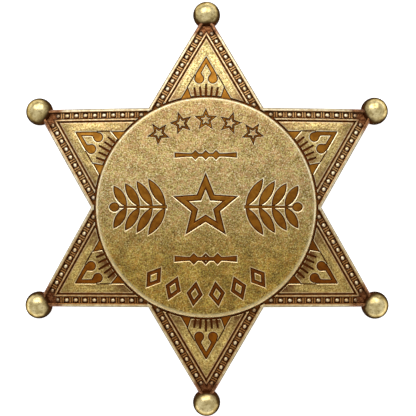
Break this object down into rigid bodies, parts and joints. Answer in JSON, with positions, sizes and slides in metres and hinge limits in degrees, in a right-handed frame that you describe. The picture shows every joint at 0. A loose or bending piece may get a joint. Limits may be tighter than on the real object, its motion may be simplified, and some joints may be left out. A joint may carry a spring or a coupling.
{
  "type": "six-pointed star badge with ball tips",
  "caption": "Domed cast star badge with ball tips, beaded borders, an applied round centre disc with enamelled motifs, and a brooch pin on the back.",
  "frame": {"origin": "middle of the star, in the plane that the undersides of its six balls rest on", "axes": "+Z out of the badge's face, +Y towards the top arm, +X to the right as seen from the front"},
  "size_m": [0.0664, 0.076, 0.0101],
  "materials": {
    "cast_brass": "antiqued cast brass, worn bright on raised edges and dark reddish brown in the recesses",
    "disc_brass": "antiqued brass with a fine grainy speckle",
    "amber_enamel": "glossy amber-brown enamel",
    "pin_brass": "drawn brass, satin"
  },
  "bodies": {
    "root": {"star": "cast_brass", "centre_disc": "disc_brass", "star_enamel": "amber_enamel", "disc_enamel": "amber_enamel", "pin_back": "pin_brass"}
  },
  "joints": []
}
